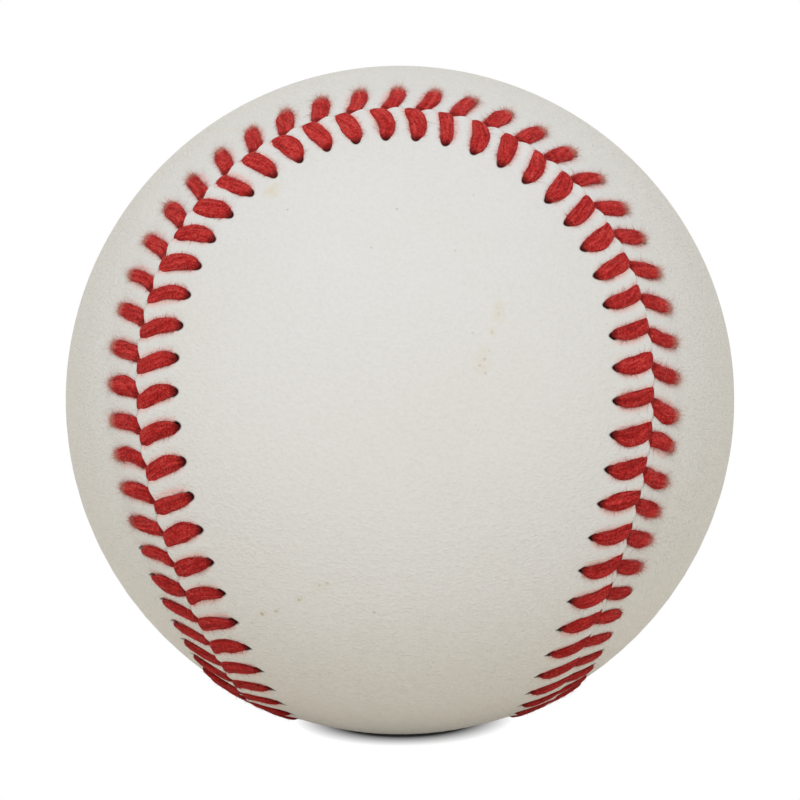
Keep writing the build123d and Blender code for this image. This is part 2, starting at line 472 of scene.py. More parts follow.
def makeThread():
    look = threadLook
    material, tree, shader = newMaterial("redWaxedCotton")
    fibre = addNode(tree, "ShaderNodeAttribute", attribute_name="fibre").outputs["Vector"]
    streaks = streakNode(fibre, look["streaks"])
    place = objectVector(tree)
    nap = fullNoise(noiseNode(place, look["napSize"], 3.0, 0.65))
    streakPart = product(streaks, look["streakShare"])
    woven = added(streakPart, product(nap, look["napShare"]))
    # painted light from above: the thread's tone is raised towards the top of the ball, so more of it there
    # takes the bright colour
    level = addNode(tree, "ShaderNodeSeparateXYZ", {0: place}).outputs["Z"]
    top, spread = ballRadius * mm, look["topLightSpread"]
    shown = added(woven, rangeNode(level, -top, top, -spread, spread))
    tone = mixColour(rangeNode(shown, 0.3, 0.55), look["deep"], look["red"])
    ends = pointFac(tree, "legEnd")
    worn = added(ends, streakPart)
    # the last colour is painted shade on the legs' ends in the holes and where two legs cross
    for source, low, high, share, colour in (
        (shown, 0.52, 0.8, "brightShare", "bright"),
        (worn, 0.6, 1.6, "paleShare", "pale"),
        (ends, -0.3, -1.0, "shadeShare", "shade"),
    ):
        tone = mixColour(rangeNode(source, low, high, 0.0, look[share]), tone, look[colour])
    bump = bumpNode(woven, look["fibreRise"])
    setInputs(shader, {"Base Color": tone, "Normal": bump, **look["gloss"]})
    return material


def makeFuzz():
    look = threadLook
    material, tree, shader = newMaterial("redCottonFuzz")
    mixed = fullNoise(noiseNode(objectVector(tree), look["fuzzSize"], 1.0))
    tone = mixColour(mixed, look["red"], look["fuzz"])
    ends = rangeNode(pointFac(tree, "legEnd"), 0.3, 0.9, 0.0, look["fuzzPaleShare"])
    setInputs(shader, {"Base Color": mixColour(ends, tone, look["pale"]), **look["fuzzGloss"]})
    return material


# Layers inside, seen only when the ball is taken apart
corkLook = {
    "light": (0.55, 0.36, 0.20),
    "brown": (0.36, 0.20, 0.10),
    "dark": (0.13, 0.07, 0.04),
    "grainSize": 700.0,
    "darkSize": 450.0,
    "grainRise": 0.0003,
}
rubberLook = {"bloomSize": 140.0, "roughness": (0.5, 0.75), "grainSize": 1500.0, "grainRise": 0.0001}
yarnLook = {
    "tilts": ((0.2, 0.5, 0.1), (1.1, -0.4, 0.9), (-0.7, 0.8, 2.0)),  # of the three sets of turns
    "bands": {"Distortion": 2.5, "Detail": 2.0, "Detail Scale": 0.6},
    "streaks": {"Fine": 2600.0, "Coarse": 500.0},
    "strandRise": 0.0006,
    "gloss": {"Roughness": 0.95, "Sheen Weight": 0.3},
}
cementLook = {
    "dark": (0.62, 0.50, 0.30),
    "light": (0.74, 0.64, 0.43),
    "brushSize": 220.0,
    "roughness": (0.3, 0.55),
}


def makeCork():
    material, tree, shader = newMaterial("compositionCork")
    place = objectVector(tree)
    grains = cellNode(place, corkLook["grainSize"])
    tone = mixColour(grains["Color"], corkLook["brown"], corkLook["light"])
    dark = rangeNode(noiseNode(place, corkLook["darkSize"], 3.0, 0.6), 0.58, 0.72, 0.0, 0.8)
    tone = mixColour(dark, tone, corkLook["dark"])
    bump = bumpNode(grains["Distance"], corkLook["grainRise"], 0.5)
    setInputs(shader, {"Base Color": tone, "Roughness": 0.9, "Normal": bump})
    return material


def makeRubber(name, colour, worn):
    material, tree, shader = newMaterial(name)
    place = objectVector(tree)
    bloom = rangeNode(noiseNode(place, rubberLook["bloomSize"], 4.0, 0.6), 0.4, 0.75)
    rough = rangeNode(bloom, 0.0, 1.0, *rubberLook["roughness"])
    bump = bumpNode(noiseNode(place, rubberLook["grainSize"]), rubberLook["grainRise"], 0.2)
    setInputs(shader, {"Base Color": mixColour(bloom, colour, worn), "Roughness": rough, "Normal": bump})
    return material


# yarn wound in crossing turns: the highest of three sets of bands is the strand on top, lighter, and the yarn
# is darker down between the strands as painted shade
def makeYarn(name, light, dark, turns):
    material, tree, shader = newMaterial(name)
    place = objectVector(tree)
    height = 0.0
    for tilt in yarnLook["tilts"]:
        turned = addNode(tree, "ShaderNodeMapping", {"Vector": place, "Rotation": tilt}).outputs["Vector"]
        bands = addNode(tree, "ShaderNodeTexWave", {"Vector": turned, "Scale": turns, **yarnLook["bands"]})
        height = mathNode("MAXIMUM", height, bands.outputs["Fac"])
    hairy = rangeNode(streakNode(place, yarnLook["streaks"]), 0.0, 1.0, 0.6, 1.0)
    # painted shade: the yarn's colour goes dark where the bands are low, down between the strands
    woolly = product(rangeNode(height, 0.35, 0.95), hairy)
    bump = bumpNode(woolly, yarnLook["strandRise"], 0.8)
    setInputs(shader, {"Base Color": mixColour(woolly, dark, light), "Normal": bump, **yarnLook["gloss"]})
    return material


def makeCement():
    material, tree, shader = newMaterial("driedCement")
    noise = noiseNode(objectVector(tree), cementLook["brushSize"], 5.0, 0.65)
    brushed = rangeNode(noise, 0.35, 0.7)
    tone = mixColour(brushed, cementLook["dark"], cementLook["light"])
    rough = rangeNode(brushed, 0.0, 1.0, *cementLook["roughness"])
    setInputs(shader, {"Base Color": tone, "Roughness": rough})
    return material


insideLooks = {
    "cork_core": makeCork(),
    "black_rubber_lower": makeRubber("blackRubber", (0.018, 0.018, 0.019), (0.045, 0.044, 0.042)),
    "red_rubber_cover": makeRubber("redRubber", (0.34, 0.045, 0.035), (0.42, 0.10, 0.08)),
    "first_wool_winding": makeYarn("grayWool", (0.36, 0.35, 0.34), (0.14, 0.14, 0.14), 110.0),
    "second_wool_winding": makeYarn("whiteWool", (0.72, 0.69, 0.62), (0.42, 0.39, 0.33), 120.0),
    "finishing_winding": makeYarn("finishingYarn", (0.78, 0.76, 0.70), (0.50, 0.47, 0.41), 210.0),
    "cement_film_lower": makeCement(),
}
for name, like in (
    ("black_rubber_upper", "black_rubber_lower"),
    ("rubber_gasket", "red_rubber_cover"),
    ("third_wool_winding", "first_wool_winding"),
    ("cement_film_upper", "cement_film_lower"),
):
    insideLooks[name] = insideLooks[like]
for name, material in insideLooks.items():
    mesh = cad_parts[name].data
    mesh.materials.clear()
    mesh.materials.append(material)
print("materials made for", len(insideLooks), "inner nodes")


# Legs of the stitches, from the hole to the foot. A row gives the distance from the seam, the left and right
# edge along it, the height of the middle, the rise above that and the drop below it, in millimetres.
lowerLeg = [
    (5.02, 0.76, 1.50, -1.3, 0.26, 0.26),
    (5.02, 0.74, 1.52, -0.6, 0.26, 0.26),
    (5.06, 0.64, 1.58, -0.14, 0.26, 0.26),
    (4.88, 0.54, 1.76, 0.05, 0.26, 0.26),
    (4.40, 0.42, 1.96, 0.14, 0.28, 0.26),
    (3.70, 0.25, 2.03, 0.18, 0.31, 0.26),
    (3.00, 0.09, 2.00, 0.20, 0.32, 0.27),
    (2.25, -0.09, 1.87, 0.21, 0.32, 0.27),
    (1.50, -0.32, 1.62, 0.22, 0.32, 0.28),
    (0.80, -0.55, 1.31, 0.22, 0.31, 0.28),
    (0.25, -0.74, 1.06, 0.18, 0.32, 0.30),
    (-0.20, -0.80, 0.72, -0.10, 0.34, 0.34),
    (-0.14, -0.55, 0.32, -0.95, 0.38, 0.38),
]
upperLeg = [
    (4.95, 1.84, 2.38, -1.3, 0.26, 0.26),
    (4.95, 1.83, 2.39, -0.6, 0.26, 0.26),
    (5.02, 1.82, 2.40, -0.12, 0.26, 0.26),
    (4.86, 1.66, 2.50, 0.08, 0.26, 0.26),
    (4.40, 1.34, 2.64, 0.14, 0.28, 0.26),
    (3.70, 1.06, 2.76, 0.17, 0.30, 0.26),
    (3.00, 0.93, 2.71, 0.18, 0.31, 0.27),
    (2.35, 0.80, 2.60, 0.19, 0.32, 0.27),
    (1.70, 0.68, 2.42, 0.19, 0.32, 0.28),
    (1.10, 0.56, 2.24, 0.19, 0.32, 0.28),
    (0.60, 0.47, 2.07, 0.18, 0.32, 0.30),
    (0.15, 0.42, 1.86, 0.12, 0.34, 0.34),
    (-0.22, 0.44, 1.60, -0.12, 0.34, 0.34),
    (-0.14, 0.60, 1.40, -0.95, 0.34, 0.34),
]
legRows = {-1: np.array(lowerLeg), 1: np.array(upperLeg)}


# Leather panels: a grid of columns along the seam and rows from its edge to the panel's spine
panel = {
    "columns": 16,  # in one stitch
    "holeCells": 3,  # from a hole's centre to its rim
    "holeWidth": 0.55,  # half the hole's width along the seam
    "holeLength": 0.58,  # half its length, drawn out by the thread's pull
    "holeOffset": {-1: 5.08, 1: 5.02},  # from the seam, on the lower and upper panel
    "holeColumns": {-1: 13, 1: 17},  # from the start of a stitch to its hole
    "holeShade": {-1: (0.75, 1.0), 1: (0.05, 0.5)},  # painted shade at each hole's rim and bottom
    "holeFade": 2.6,  # the cells are square again this many times further out
    "outerNarrow": 0.25,  # how much narrower a hole's outer end is
    "pointStretch": 0.55,  # a pointed leg's hole is longer and narrower
    "pointNarrow": 0.4,
    "pointOuter": 0.6,
    "chartEnd": 9.6,  # past this the rows turn towards the spine
    "spineTurn": 100.0,  # degrees from the narrow middle to the centre of a lobe
    "edgeRows": [0.05, 0.065, 0.1, 0.17, 0.3],
    "middleRows": [0.5, 0.8, 1.2, 1.6, 2.1, 2.6, 3.1, 3.5, 3.85],
    "rimRows": [0.95, 1.25, 1.7, 2.3, 3.1],  # past a hole's centre
    "outerSpineRows": 10,
    "innerSpineRows": 4,
    "fleshRows": (3.0, 7.2),  # on the flesh side, before and past the holes
    "sharpAngle": 55.0,  # in degrees
    "ridge": {-1: (0.30, 0.0, 4.0), 1: (0.14, 0.0, 4.0)},  # rise, place and width of each sewn edge's swell
    "pillow": 0.11,  # swell of the leather between two stitches
    "pillowReach": ((0.0, 0.8), (4.2, 6.2)),  # distances from the seam where it starts and ends
    "pillowShift": 0.35,
    "bead": {-1: (0.12, 0.45, 0.35), 1: (0.04, 0.45, 0.35)},  # swell of each edge between two stitches
    "roll": (0.17, 0.15),  # how far the edge is rolled under, and over what width
    "dip": (-0.10, 0.0, 1.9),  # of the leather round a hole, in hole sizes
    "lip": (0.05, 1.35, 0.35),  # that stands up round it
    "levelFrom": 7.0,
    "slots": {  # middle, reach and depth where an edge is drawn back for a thread
        -1: [(-0.04, 0.7, 0.1)],
        1: [(-0.04, 0.6, 0.36), (1.1, 0.55, 0.36)],
    },
    "seamWave": 0.34,  # the edges swing over between two stitches
    "wavePlace": 2.2,
    "waveReach": 2.6,  # slots and swing end this far from the seam
    "footOffset": {-1: 0.0, 1: 0.9},  # from the stitch's middle to where each leg drops in
    "dye": 0.75,  # how strongly red shows beside the legs
    "dyeReach": (-0.05, 0.6),
    "dyePast": 0.4,
}
columnStep = pitch / panel["columns"]
columnCount = seam["stitches"] * panel["columns"]


# signed distances from the nearest hole, along and across the seam
def fromHole(side, along, across):
    centre = panel["holeColumns"][side] * columnStep
    return fromStitch(along - centre), across - panel["holeOffset"][side]


# squeeze square rings of cells round each hole into ovals, fading out with distance
def ovalHoles(side, along, across):
    phase, off = fromHole(side, along, across)
    reach = panel["holeCells"] * columnStep
    square = np.maximum(np.abs(phase), np.abs(off))
    far = np.maximum(np.hypot(phase, off), 1e-6)
    fade = 1 - smoothStep(reach, panel["holeFade"] * reach, square)
    roundness = square / far / reach
    point = tipPoint(side, along)
    stretch = 1 + panel["pointStretch"] * point * (off > 0)
    outer = np.clip(off * roundness, 0.0, 1.0)
    newOff = off * roundness * panel["holeLength"] * stretch
    newPhase = phase * roundness * panel["holeWidth"] * (1 - panel["pointNarrow"] * point)
    newPhase = newPhase * (1 - (panel["outerNarrow"] + panel["pointOuter"] * point) * outer)
    return along + fade * (newPhase - phase), across + fade * (newOff - off)


# height over the ball: a ridge at the seam, pillows between legs, a rolled edge, a dip and a lip at each hole
def leatherHeight(side, along, across):
    foot = pitch / 2 + panel["footOffset"][side]
    lean = (panel["holeColumns"][side] * columnStep - foot) / panel["holeOffset"][side]
    legs = np.cos(2 * np.pi * (along - foot - lean * across - panel["pillowShift"]) / pitch)
    start, end = panel["pillowReach"]
    window = smoothStep(*start, across) * (1 - smoothStep(*end, across))
    phase, off = fromHole(side, along, across)
    away = np.hypot(phase / panel["holeWidth"], off / panel["holeLength"])
    height = swell(across, *panel["ridge"][side]) - panel["pillow"] * legs * window
    height = height + swell(across, *panel["bead"][side]) * (1 - legs) / 2
    roll, width = panel["roll"]
    height = height - roll * np.exp(-np.maximum(across - seam["gap"] / 2, 0) / width)
    height = height + swell(away, *panel["dip"]) + swell(away, *panel["lip"])
    return height * (1 - smoothStep(panel["levelFrom"], panel["chartEnd"], across))


# the leather's edge is drawn back where threads drop in, less and less away from the seam
def slotEdge(side, along, across):
    back = 0
    for middle, reach, depth in panel["slots"][side]:
        phase = fromStitch(along - middle - pitch / 2)
        back = np.maximum(back, depth * np.exp(-((phase / reach) ** 4)))
    return across + back * (1 - smoothStep(0.0, panel["waveReach"], across))


# both edges swing to one side by a cosine of the place in the stitch, less and less away from the seam
def seamSwing(along, across):
    phase = along - pitch / 2 - panel["wavePlace"]
    swing = panel["seamWave"] * np.cos(2 * np.pi * phase / pitch)
    return swing * (1 - smoothStep(0.0, panel["waveReach"], across))


# one under and beside a leg, falling to nothing a little way off
def besideLegs(side, along, across):
    shape = legRows[side][2:-1][::-1]
    left = np.interp(across, shape[:, 0], shape[:, 1])
    right = np.interp(across, shape[:, 0], shape[:, 2])
    apart = np.abs(fromStitch(along - (left + right) / 2 - pitch / 2)) - (right - left) / 2
    past = across - shape[-1, 0]
    return (1 - smoothStep(*panel["dyeReach"], apart)) * (1 - smoothStep(0.0, panel["dyePast"], past))


# a great circle through the panel's narrow middle, out to the centre of each lobe
def spinePoints(side, along):
    turn = np.interp(np.mod(along, seamLength), seamRun, seamTurns)
    swing = np.radians(panel["spineTurn"])
    if side < 0:
        angle = swing * np.sin(turn)
        return np.stack([0 * angle, np.sin(angle), -np.cos(angle)], axis=-1)
    angle = swing * np.cos(turn)
    return np.stack([np.sin(angle), 0 * angle, np.cos(angle)], axis=-1)


# one skin of a panel: points of the rows given, then rows that turn to the spine, and nearness to a leg
def panelSkin(side, rows, spineRows, inside):
    along, across = np.meshgrid(np.arange(columnCount) * columnStep, np.array(rows))
    shapedAlong, shapedAcross = ovalHoles(side, along, across)
    shapedAcross = slotEdge(side, shapedAlong, shapedAcross)
    height = leatherHeight(side, shapedAlong, shapedAcross)
    if inside:
        height = np.full_like(height, leatherInside - ballRadius)
    points = onBall(shapedAlong, side * shapedAcross + seamSwing(shapedAlong, shapedAcross), height)
    last = unit(points[-1])
    spine = spinePoints(side, along[-1])
    share = (np.arange(1, spineRows + 1) / spineRows)[:, None, None]
    radius = leatherInside if inside else ballRadius
    inner = unit(last * (1 - share) + spine * share) * radius
    near = besideLegs(side, shapedAlong, shapedAcross)
    return np.concatenate([points, inner]), np.concatenate([near, np.zeros((spineRows, columnCount))])


# point numbers of a skin, with the two sides of its spine joined: column i meets its mirror image
def skinNumbers(side, rowCount, first):
    columns = np.arange(columnCount)
    numbers = first + np.arange(rowCount)[:, None] * columnCount + columns
    mirror = (columnCount // 2 - columns if side < 0 else -columns) % columnCount
    numbers[-1] = numbers[-1][np.minimum(columns, mirror)]
    return numbers


# quads between neighbouring rows and columns, the last column joined to the first, less those not kept
def gridFaces(numbers, keep):
    right = np.roll(numbers, -1, axis=1)
    quads = np.stack([numbers[:-1], right[:-1], right[1:], numbers[1:]], axis=-1)
    return quads[keep]


# quads between two closed rings of point numbers
def stripFaces(first, second):
    ahead = [np.roll(ring, -1, axis=-1) for ring in (first, second)]
    return np.stack([first, ahead[0], ahead[1], second], axis=-1).reshape(-1, 4)


# the rim of every hole, walked round its square of cells from the column and row of one corner
def holeRims(numbers, left, start):
    size = 2 * panel["holeCells"]
    step = np.arange(size)
    still = 0 * step
    rows = start + np.concatenate([still, step, still + size, size - step])
    columns = left[:, None] + np.concatenate([step, still + size, size - step, still])
    return numbers[rows, columns % columnCount]


# an outer skin and a flesh skin, joined by the walls of the holes and by the wall along the seam
def buildPanel(side, name, node, material):
    offset, reach = panel["holeOffset"][side], panel["holeCells"]
    holeRows = [offset + cell * columnStep for cell in range(-reach, reach + 1)]
    rimRows = [offset + past for past in panel["rimRows"]]
    before, past = panel["fleshRows"]
    outerRows = panel["edgeRows"] + panel["middleRows"] + holeRows + rimRows + [panel["chartEnd"]]
    innerRows = [panel["edgeRows"][0], before] + holeRows + [past]
    outer, outerNear = panelSkin(side, outerRows, panel["outerSpineRows"], False)
    inner, innerNear = panelSkin(side, innerRows, panel["innerSpineRows"], True)
    outerNumbers = skinNumbers(side, len(outer), 0)
    innerNumbers = skinNumbers(side, len(inner), outerNear.size)
    left = panel["holeColumns"][side] - reach + panel["columns"] * np.arange(seam["stitches"])
    holeCells = ((left[:, None] + np.arange(2 * reach)) % columnCount).ravel()
    faces, rims = [], []
    for numbers, rows in ((outerNumbers, outerRows), (innerNumbers, innerRows)):
        start = rows.index(holeRows[0])
        keep = np.ones((len(numbers) - 1, columnCount), dtype=bool)
        keep[start : start + 2 * reach, holeCells] = False
        faces.append(gridFaces(numbers, keep))
        rims.append(holeRims(numbers, left, start))
    quads = np.concatenate([*faces, stripFaces(*rims), stripFaces(outerNumbers[0], innerNumbers[0])])
    points = np.concatenate([outer.reshape(-1, 3), inner.reshape(-1, 3)])
    flesh = np.concatenate([np.zeros(outerNear.size), np.ones(innerNear.size)])
    dye = np.concatenate([outerNear.ravel() * panel["dye"], np.zeros(innerNear.size)])
    hole = np.zeros(len(points))
    # painted shade on the rims and bottoms of the holes
    hole[rims[0]], hole[rims[1]] = panel["holeShade"][side]
    used, packed = np.unique(quads, return_inverse=True)
    piece = makePiece(name, points[used], packed.reshape(-1, 4).tolist(), material, panel["sharpAngle"])
    for word, values in (("rawEdge", flesh), ("dye", dye), ("hole", hole)):
        pointLayer(piece, word, values[used])
    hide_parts(node)
    print(name, "faces", len(quads))


# Threads: each is one tube whose centre line and section go through the leg rows at every stitch
stitch = {
    "sides": 24,
    "samples": 2,  # rings for each row
    "underDepth": -2.0,
    "coreRadius": 0.42,  # of the thread where it isn't squashed
    "footSlip": 0.1,  # past the leg's foot, on the way down
    "footRise": 0.2,
    "crossPlace": 1.7,  # from the seam, where the thread has crossed under it
    "crossShare": 0.25,  # of the way to the next hole there, and then near that hole
    "nearShare": 0.8,
    "tipNarrow": 0.5,  # of a pointed leg, between these distances from the seam
    "tipReach": (3.4, 5.1),
    "strandTwist": 0.022,  # turns in a millimetre
    "fibreStep": 0.12,
    "ripples": [(2, 0.9, 0.03), (3, 1.7, 0.03), (5, 0.6, 0.03), (7, 2.3, 0.02)],  # round, along, rise
    "widthSpread": 0.12,
    "leanSpread": 0.17,
    "riseSpread": 0.08,
    "frayedEnd": (3.0, 5.0),  # distances from the seam where an end's colour starts and is full
    # painted shade on the outer ends of pointed upper legs and of lower legs, between these distances from
    # the seam
    "pointedEndShade": (4.3, 5.1),
    "lowerEndShade": (4.4, 5.1),
    "crossing": (0.9, 0.1, 0.28),  # shade, place and width of the dark where two legs cross
    "seed": 11,
}


# rows of along, across, height, half width, rise, drop for every stitch of one thread, in sewing order
def threadRows(firstSide, random):
    depth, radius = stitch["underDepth"], stitch["coreRadius"]
    rows = []
    for index in reversed(range(seam["stitches"])):
        side = firstSide if index % 2 else -firstSide
        across, left, right, height, rise, drop = legRows[side].T
        wide, lean, lift, bow = random.normal(0.0, 1.0, 4)
        reach = np.clip(across / panel["holeOffset"][side], 0.0, 1.0)
        belly = np.sin(np.pi * reach)
        bent = (belly * bow + reach * lean / 2) * stitch["leanSpread"]
        along = (index + 0.5) * pitch + (left + right) / 2 + bent
        half = (right - left) / 2 * (1 + belly * wide * stitch["widthSpread"])
        narrow = stitch["tipNarrow"] * tipPoint(side, (index + 0.5) * pitch)
        half = half * (1 - narrow * smoothStep(*stitch["tipReach"], across))
        rise = rise * (1 + lift * stitch["riseSpread"])
        leg = np.stack([along, side * across, height, half, rise, drop], axis=1)
        foot = leg[-1]
        nextAlong = (index - 0.5) * pitch + legRows[-side][0, 1:3].mean()
        nextAcross = -side * legRows[-side][0, 0]
        ahead = nextAlong - foot[0]
        below = [
            [foot[0], foot[1] - side * stitch["footSlip"], depth + stitch["footRise"]],
            [foot[0] + stitch["crossShare"] * ahead, -side * stitch["crossPlace"], depth],
            [foot[0] + stitch["nearShare"] * ahead, stitch["nearShare"] * nextAcross, depth],
        ]
        rows.append(leg)
        rows.append(np.array([place + 3 * [radius] for place in below]))
    return np.concatenate(rows)


# a uniform cubic B-spline along rows of control values
def splineRows(rows, samples):
    parts = []
    for step in range(samples):
        t = step / samples
        weights = [
            (1 - t) ** 3 / 6,
            (3 * t**3 - 6 * t**2 + 4) / 6,
            (-3 * t**3 + 3 * t**2 + 3 * t + 1) / 6,
            t**3 / 6,
        ]
        parts.append(sum(w * rows[i : len(rows) - 3 + i] for i, w in enumerate(weights)))
    return np.stack(parts, axis=1).reshape(-1, rows.shape[1])


# plus one at the outer ends of the upper legs, which are frayed where they are blunt, minus for painted shade
# where
# the thread goes into the dark: the outer ends of the other legs and the crossing of two legs
def endShare(rows):
    across = rows[:, 1]
    pointed = tipPoint(1, rows[:, 0])
    frayed = smoothStep(*stitch["frayedEnd"], across) * (1 - pointed)
    upper = frayed - smoothStep(*stitch["pointedEndShade"], across) * pointed
    return upper - smoothStep(*stitch["lowerEndShade"], -across) - swell(across, *stitch["crossing"])


# section at each ring: half width times cos, rise or drop times sin, with strands that twist along the length
def buildThread(firstSide, name, node, material):
    random = np.random.default_rng(stitch["seed"] + firstSide)
    rows = splineRows(threadRows(firstSide, random), stitch["samples"])
    centre = onBall(rows[:, 0], rows[:, 1], rows[:, 2])
    tangent = unit(np.gradient(centre, axis=0))
    forward = seamFrame(rows[:, 0])[1]
    wide = unit(forward - tangent * np.sum(forward * tangent, axis=1, keepdims=True))
    tall = np.cross(tangent, wide)
    outward = np.sum(tall * unit(centre), axis=1, keepdims=True)
    length = np.concatenate([[0.0], np.cumsum(np.linalg.norm(np.diff(centre, axis=0), axis=1))])[:, None]
    angle = np.linspace(0.0, 2 * np.pi, stitch["sides"], endpoint=False)[None, :]
    rise, drop = rows[:, 4:5], rows[:, 5:6]
    plus = np.where(outward >= 0, rise, drop)
    minus = np.where(outward >= 0, drop, rise)
    twist = 2 * np.pi * stitch["strandTwist"] * length
    strands = 1 + sum(
        size * np.cos(turns * (angle + twist) + along * length) for turns, along, size in stitch["ripples"]
    )
    x = rows[:, 3:4] * np.cos(angle) * strands
    z = np.where(np.sin(angle) > 0, plus, minus) * np.sin(angle) * strands
    points = centre[:, None] + wide[:, None] * x[..., None] + tall[:, None] * z[..., None]
    ringCount, sides = x.shape
    numbers = np.arange(ringCount * sides).reshape(ringCount, sides)
    right = np.roll(numbers, -1, axis=1)
    quads = np.stack([numbers[:-1], numbers[1:], right[1:], right[:-1]], axis=-1).reshape(-1, 4)
    faces = quads.tolist() + [numbers[0].tolist(), numbers[-1].tolist()]
    piece = makePiece(name, points.reshape(-1, 3), faces, material)
    around = angle + twist
    onward = stitch["fibreStep"] * length
    fibre = np.stack(np.broadcast_arrays(np.cos(around), np.sin(around), onward), axis=-1)
    pointLayer(piece, "fibre", fibre, "FLOAT_VECTOR", "vector")
    pointLayer(piece, "legEnd", np.repeat(endShare(rows), sides))
    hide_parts(node)
    print(name, "faces", len(faces), "length", round(float(length[-1, 0])))
    return rows, centre, points


# Fuzz: short tapered fibres of three sides that leave the thread and bend over
fuzz = {
    "shortPerLeg": 335,
    "longPerLeg": 8,
    "frayedPerLeg": 45,
    "shortLength": 0.19,
    "longLength": 0.36,
    "frayedLength": 0.38,
    "longest": 1.3,
    "shortest": 0.6,  # of the mean length
    "thickness": 0.017,
    "stub": [(-0.3, 1.0)],  # rings of a short fibre: share of the length and of the thickness
    "hair": [(-0.06, 1.0), (0.35, 0.9), (0.7, 0.6)],  # and of a long one
    "bluntest": 0.4,  # only legs less pointed than this are frayed
    "frayedFrom": 4.1,  # from the seam
    "frayedAbove": -0.1,
    "above": 0.05,  # height of the thread where the others are rooted
    "tries": 4,
    "upright": (-0.2, 0.85),  # few fibres stand on the crest
    "frayedLift": 0.3,
    "frayedStray": 0.25,
    "stray": 0.5,
    "flatness": 0.93,
    "curl": 0.45,
    "seed": 5,
}


# fibres rooted on the thread's sides, as points of a root ring, more rings on the way and a tip;
# frayed ones are rooted at the outer ends of the upper legs and point away from the seam
def fibrePoints(random, total, mean, stations, thread, frayed):
    rows, centre, points = thread
    if frayed:
        blunt = tipPoint(1, rows[:, 0]) < fuzz["bluntest"]
        rooted = blunt & (rows[:, 1] > fuzz["frayedFrom"]) & (rows[:, 2] > fuzz["frayedAbove"])
    else:
        rooted = rows[:, 2] > fuzz["above"]
    ring = random.choice(np.flatnonzero(rooted), fuzz["tries"] * total)
    spot = random.integers(0, stitch["sides"], fuzz["tries"] * total)
    root = points[ring, spot]
    normal = unit(root - centre[ring])
    radial = unit(centre[ring])
    upright = np.sum(normal * radial, axis=1)
    low, high = fuzz["upright"]
    keep = np.flatnonzero((upright > low) & (frayed | (upright < high)))[:total]
    root, normal, radial = root[keep], normal[keep], radial[keep]
    total = len(keep)
    length = mean * (fuzz["shortest"] + random.exponential(1.0, total))
    length = np.minimum(length, fuzz["longest"])[:, None]
    stray = random.normal(0.0, 1.0, (total, 3))
    if frayed:
        away = seamFrame(rows[ring[keep], 0])[2]
        heading = unit(away + fuzz["frayedLift"] * normal + fuzz["frayedStray"] * stray)
    else:
        heading = normal + fuzz["stray"] * stray
        standing = radial * np.sum(heading * radial, axis=1, keepdims=True)
        heading = unit(heading - fuzz["flatness"] * standing)
    bend = unit(np.cross(heading, random.normal(0.0, 1.0, (total, 3))))
    across = np.cross(heading, bend)
    corner = 2 * np.pi * np.arange(3) / 3
    spread = bend[:, None] * np.cos(corner)[None, :, None] + across[:, None] * np.sin(corner)[None, :, None]
    rings = []
    curl = bend * length * fuzz["curl"]
    for share, thick in stations:
        spine = root + heading * length * share + curl * share * share
        rings.append(spine[:, None] + spread * fuzz["thickness"] * thick)
    tip = root + heading * length + curl
    cloud = np.concatenate(rings + [tip[:, None]], axis=1)
    return cloud, np.repeat(endShare(rows[ring[keep]]), cloud.shape[1])


# triangles of one fibre, capped at its root and pointed at its tip, repeated for all the fibres
def fibreFaces(total, ringCount, first):
    faces = [(2, 1, 0)]
    for ring in range(ringCount - 1):
        for side in range(3):
            near, beside = 3 * ring + side, 3 * ring + (side + 1) % 3
            faces += [(near, beside, beside + 3), (near, beside + 3, near + 3)]
    last = 3 * ringCount
    faces += [(last - 3, last - 2, last), (last - 2, last - 1, last), (last - 1, last - 3, last)]
    return first + (np.arange(total)[:, None, None] * (last + 1) + np.array(faces)).reshape(-1, 3)


# the short, frayed and long fibres of one thread as one mesh
def buildFuzz(firstSide, name, thread, material):
    random = np.random.default_rng(fuzz["seed"] + firstSide)
    clouds, faces, ends = [], [], []
    first = 0
    for kind, shape in (("short", "stub"), ("frayed", "stub"), ("long", "hair")):
        stations = fuzz[shape]
        total = fuzz[kind + "PerLeg"] * seam["stitches"]
        fibres, end = fibrePoints(random, total, fuzz[kind + "Length"], stations, thread, kind == "frayed")
        faces.append(fibreFaces(len(fibres), len(stations), first))
        clouds.append(fibres.reshape(-1, 3))
        ends.append(end)
        first += len(clouds[-1])
    triangles = np.concatenate(faces)
    piece = makePiece(name, np.concatenate(clouds), triangles.tolist(), material)
    pointLayer(piece, "legEnd", np.concatenate(ends))
    print(name, "faces", len(triangles))


whiteLeather = makeLeather()
redThread = makeThread()
redFuzz = makeFuzz()
buildPanel(-1, "lower_leather", "leather_panel_lower", whiteLeather)
buildPanel(1, "upper_leather", "leather_panel_upper", whiteLeather)
for firstSide, word in ((1, "one"), (-1, "two")):
    made = buildThread(firstSide, "sewing_thread_" + word, "stitch_thread_" + word, redThread)
    buildFuzz(firstSide, "thread_fuzz_" + word, made, redFuzz)


# Stage: a pale floor under the ball, white to the camera with the ball's shadow on it and a painted shadow
# round its foot
stage = {
    "floorSize": 6.0,
    "floorColour": (0.92, 0.875, 0.79),  # what the ball's underside sees
    "floorSeen": (1.1, 1.1, 1.1),
    "shadowBack": 0.0025,  # the painted shadow's middle lies behind the foot
    "fadeStart": 0.0085,  # from there, where the floor starts to turn white
    "fadeEnd": 0.0125,
    "paintedShadowCore": 0.005,  # painted shadow: the floor is black this far from the middle
    "paintedShadowReach": 0.017,
    "skyLight": 0.86,
}


# one for rays that see the floor and sky as white: the camera's, reflected and through glass
def seenRays(tree):
    path = addNode(tree, "ShaderNodeLightPath")
    seen = mathNode("MAXIMUM", path.outputs["Is Camera Ray"], path.outputs["Is Glossy Ray"])
    return mathNode("MAXIMUM", seen, path.outputs["Is Transmission Ray"])


